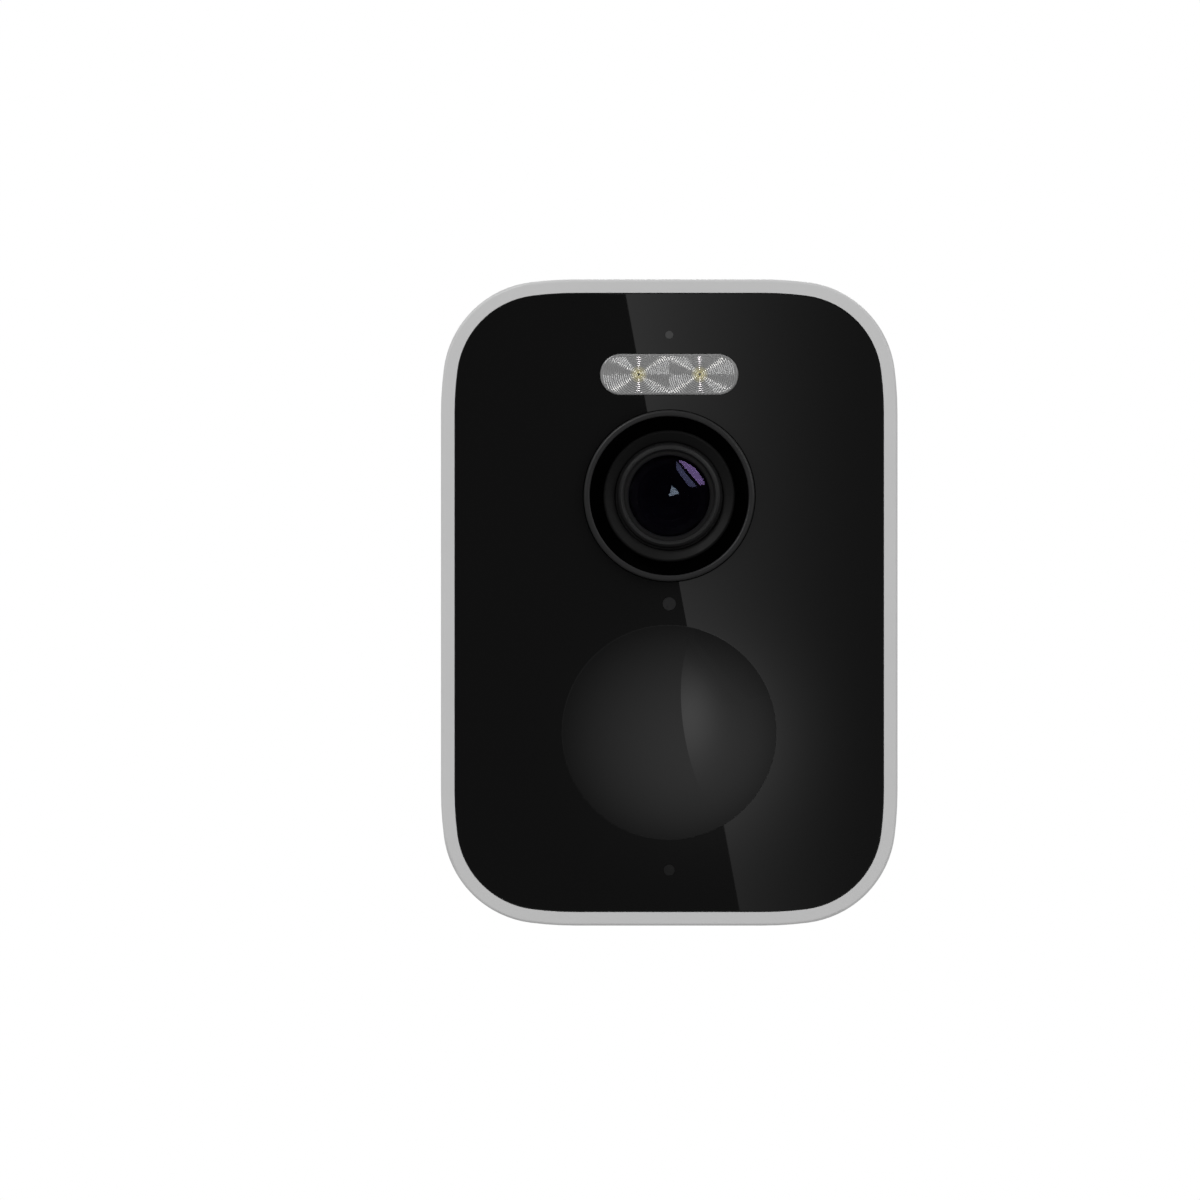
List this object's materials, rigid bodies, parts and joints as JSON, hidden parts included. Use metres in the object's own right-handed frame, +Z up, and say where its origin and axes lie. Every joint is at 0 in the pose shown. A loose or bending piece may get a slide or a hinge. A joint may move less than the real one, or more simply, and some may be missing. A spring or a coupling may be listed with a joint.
{
  "type": "floodlight security camera",
  "caption": "Compact wireless security camera with a gloss front, ringed lens, pill-shaped spotlight and motion-sensor dome, on a swivelling and tilting wall bracket.",
  "frame": {"origin": "centre of the wall plate's back, which lies on the wall", "axes": "+Z up; +Y into the wall; the camera looks along -Y; +X to the right of a person facing the lens"},
  "size_m": [0.0658, 0.1072, 0.093],
  "materials": {
    "white_casing": "fine satin texture",
    "grey_grip": "satin",
    "steel": "zinc plated",
    "brass": "machined",
    "aluminium": "sawn and deburred",
    "seal_rubber": "moulded",
    "gloss_black": "polished, smoked",
    "ring_black": "satin gloss",
    "barrel_black": "matt anodised",
    "dome_black": "satin",
    "black_plastic": "matt",
    "smoked_clear": "polished",
    "diffuser": "frosted",
    "lens_glass": "coated and polished",
    "clear_lens": "ringed optical plastic",
    "reflector": "vacuum metallised",
    "led_phosphor": "cured phosphor",
    "sensor_chip": "polished cover glass",
    "sensor_can": "nickel plated",
    "circuit_board": "solder mask",
    "cell_wrap": "can in a shrink sleeve",
    "lead_red": "extruded insulation",
    "lead_black": "extruded insulation"
  },
  "bodies": {
    "wall_plate": {"wall_plate": "white_casing"},
    "swivel": {"swivel_fork": "white_casing", "swivel_bolt": "steel", "clamp_bolt": "steel"},
    "arm": {"tilt_arm": "white_casing", "mounting_stud": "steel"},
    "clamp_knob": {"clamp_knob": "grey_grip"},
    "lock_wheel": {"lock_wheel": "grey_grip"},
    "camera": {"housing": "white_casing", "rear_cover": "white_casing", "rear_seal": "seal_rubber", "rear_screws": "steel", "tripod_insert": "brass", "front_panel": "gloss_black", "panel_tape": "black_plastic", "front_frame": "black_plastic", "front_seal": "seal_rubber", "frame_screws": "steel", "light_sensor_pin": "smoked_clear", "status_light_pin": "diffuser", "microphone_plug": "seal_rubber", "lens_ring": "ring_black", "lens_seal": "seal_rubber", "lens_hood": "black_plastic", "lens_barrel": "barrel_black", "lens_retainer": "barrel_black", "front_lens_element": "lens_glass", "lens_spacer": "black_plastic", "middle_lens_element": "lens_glass", "aperture_stop": "black_plastic", "rear_lens_element": "lens_glass", "lens_mount": "black_plastic", "image_sensor": "sensor_chip", "sensor_board": "circuit_board", "light_lens": "clear_lens", "light_reflector": "reflector", "light_leds": "led_phosphor", "light_board": "circuit_board", "heat_spreader": "aluminium", "infrared_lights": "circuit_board", "sensor_dome": "dome_black", "motion_sensor": "sensor_can", "front_board": "circuit_board", "main_board": "circuit_board", "board_screws": "steel", "battery_cradle": "black_plastic", "battery_cells": "cell_wrap", "antenna": "brass", "speaker": "black_plastic", "port_board": "circuit_board", "usb_socket": "steel", "card_socket": "steel", "battery_lead": "lead_red", "speaker_lead": "lead_black", "port_cover_pin": "steel"},
    "filter_slide": {"filter_slide": "black_plastic"},
    "reset_button": {"reset_button": "grey_grip"},
    "power_button": {"power_button": "white_casing"},
    "port_cover": {"port_cover": "white_casing", "port_cover_seal": "seal_rubber"}
  },
  "joints": [
    {"name": "bracket_swivel", "type": "hinge", "parent": "wall_plate", "child": "swivel", "pos_m": [0, -0.0092, 0], "axis": [0, 1, 0], "range_deg": [-180, 180]},
    {"name": "camera_tilt", "type": "hinge", "parent": "swivel", "child": "arm", "pos_m": [0, -0.026, 0], "axis": [1, 0, 0], "range_deg": [-45, 45]},
    {"name": "camera_spin", "type": "hinge", "parent": "arm", "child": "camera", "pos_m": [0, -0.046, 0], "axis": [0, 1, 0], "range_deg": [-180, 180]},
    {"name": "clamp_knob_turn", "type": "hinge", "parent": "swivel", "child": "clamp_knob", "pos_m": [0.0128, -0.026, 0], "axis": [1, 0, 0], "range_deg": [-180, 180]},
    {"name": "lock_wheel_turn", "type": "hinge", "parent": "arm", "child": "lock_wheel", "pos_m": [0, -0.043, 0], "axis": [0, 1, 0], "range_deg": [-180, 180]},
    {"name": "port_cover_hinge", "type": "hinge", "parent": "camera", "child": "port_cover", "pos_m": [-0.005, -0.0473, -0.0352], "axis": [-1, 0, 0], "range_deg": [0, 100]},
    {"name": "power_press", "type": "slide", "parent": "camera", "child": "power_button", "axis": [0, -1, 0], "range_m": [0, 0.0006], "stiffness_N_per_m": 400, "springref_m": -0.0006},
    {"name": "reset_press", "type": "slide", "parent": "camera", "child": "reset_button", "axis": [0, -1, 0], "range_m": [0, 0.0003], "stiffness_N_per_m": 400, "springref_m": -0.0003},
    {"name": "filter_shift", "type": "slide", "parent": "camera", "child": "filter_slide", "axis": [-1, 0, 0], "range_m": [0, 0.006]}
  ]
}
